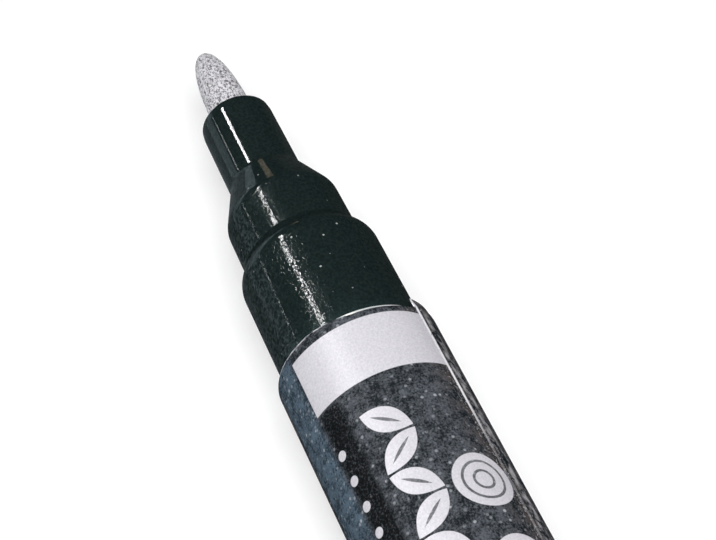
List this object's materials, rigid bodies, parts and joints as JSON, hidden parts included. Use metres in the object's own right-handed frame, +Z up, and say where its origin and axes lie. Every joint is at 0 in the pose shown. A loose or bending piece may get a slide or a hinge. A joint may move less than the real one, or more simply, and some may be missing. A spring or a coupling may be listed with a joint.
{
  "type": "marker pen",
  "caption": "Valve-action paint marker with a felt bullet nib, stepped nose, film-covered metal barrel and its clip cap posted on the tail.",
  "frame": {"origin": "middle of the pen's length, on the surface that it lies on", "axes": "+X along the pen towards the nib, +Z up from the surface that the pen lies on"},
  "size_m": [0.174, 0.0163, 0.0155],
  "materials": {
    "nib_felt": "pressed fibre, light grey with dark specks",
    "inner_felt": "white porous fibre",
    "black_moulding": "glossy black moulding",
    "seal_rubber": "matt black rubber",
    "natural_plastic": "natural milky plastic",
    "spring_steel": "drawn spring wire",
    "ball_steel": "polished steel",
    "barrel_aluminium": "satin drawn tube",
    "printed_film": "glossy clear film, slate print with a silver band",
    "silver_disc": "silver disc"
  },
  "bodies": {
    "barrel": {"barrel": "barrel_aluminium", "label_film": "printed_film", "nose": "black_moulding", "nose_seal_ring": "seal_rubber", "overflow_felt": "inner_felt", "valve_seat": "seal_rubber", "valve_housing": "natural_plastic", "valve_spring": "spring_steel", "tail_plug": "black_moulding", "tail_seal_ring": "seal_rubber"},
    "nib": {"nib": "nib_felt", "valve_plunger": "natural_plastic"},
    "front_ball": {"mixing_ball_front": "ball_steel"},
    "rear_ball": {"mixing_ball_rear": "ball_steel"},
    "cap": {"cap": "black_moulding", "cap_liner": "natural_plastic", "cap_end_disc": "silver_disc"}
  },
  "joints": [
    {"name": "nib_press", "type": "slide", "parent": "barrel", "child": "nib", "axis": [-1, 0, 0], "range_m": [0, 0.002], "stiffness_N_per_m": 1000, "springref_m": -0.002, "deforming": ["valve_spring"]},
    {"name": "rear_ball_run", "type": "slide", "parent": "barrel", "child": "rear_ball", "axis": [1, 0, 0], "range_m": [0, 0.045]},
    {"name": "front_ball_run", "type": "slide", "parent": "barrel", "child": "front_ball", "axis": [1, 0, 0], "range_m": [0, 0.045]},
    {"name": "cap_pull", "type": "slide", "parent": "barrel", "child": "cap", "axis": [-1, 0, 0], "range_m": [0, 0.016]}
  ],
  "couplings": [
    {"joint": "front_ball_run", "follows": "rear_ball_run", "ratio": 1}
  ]
}
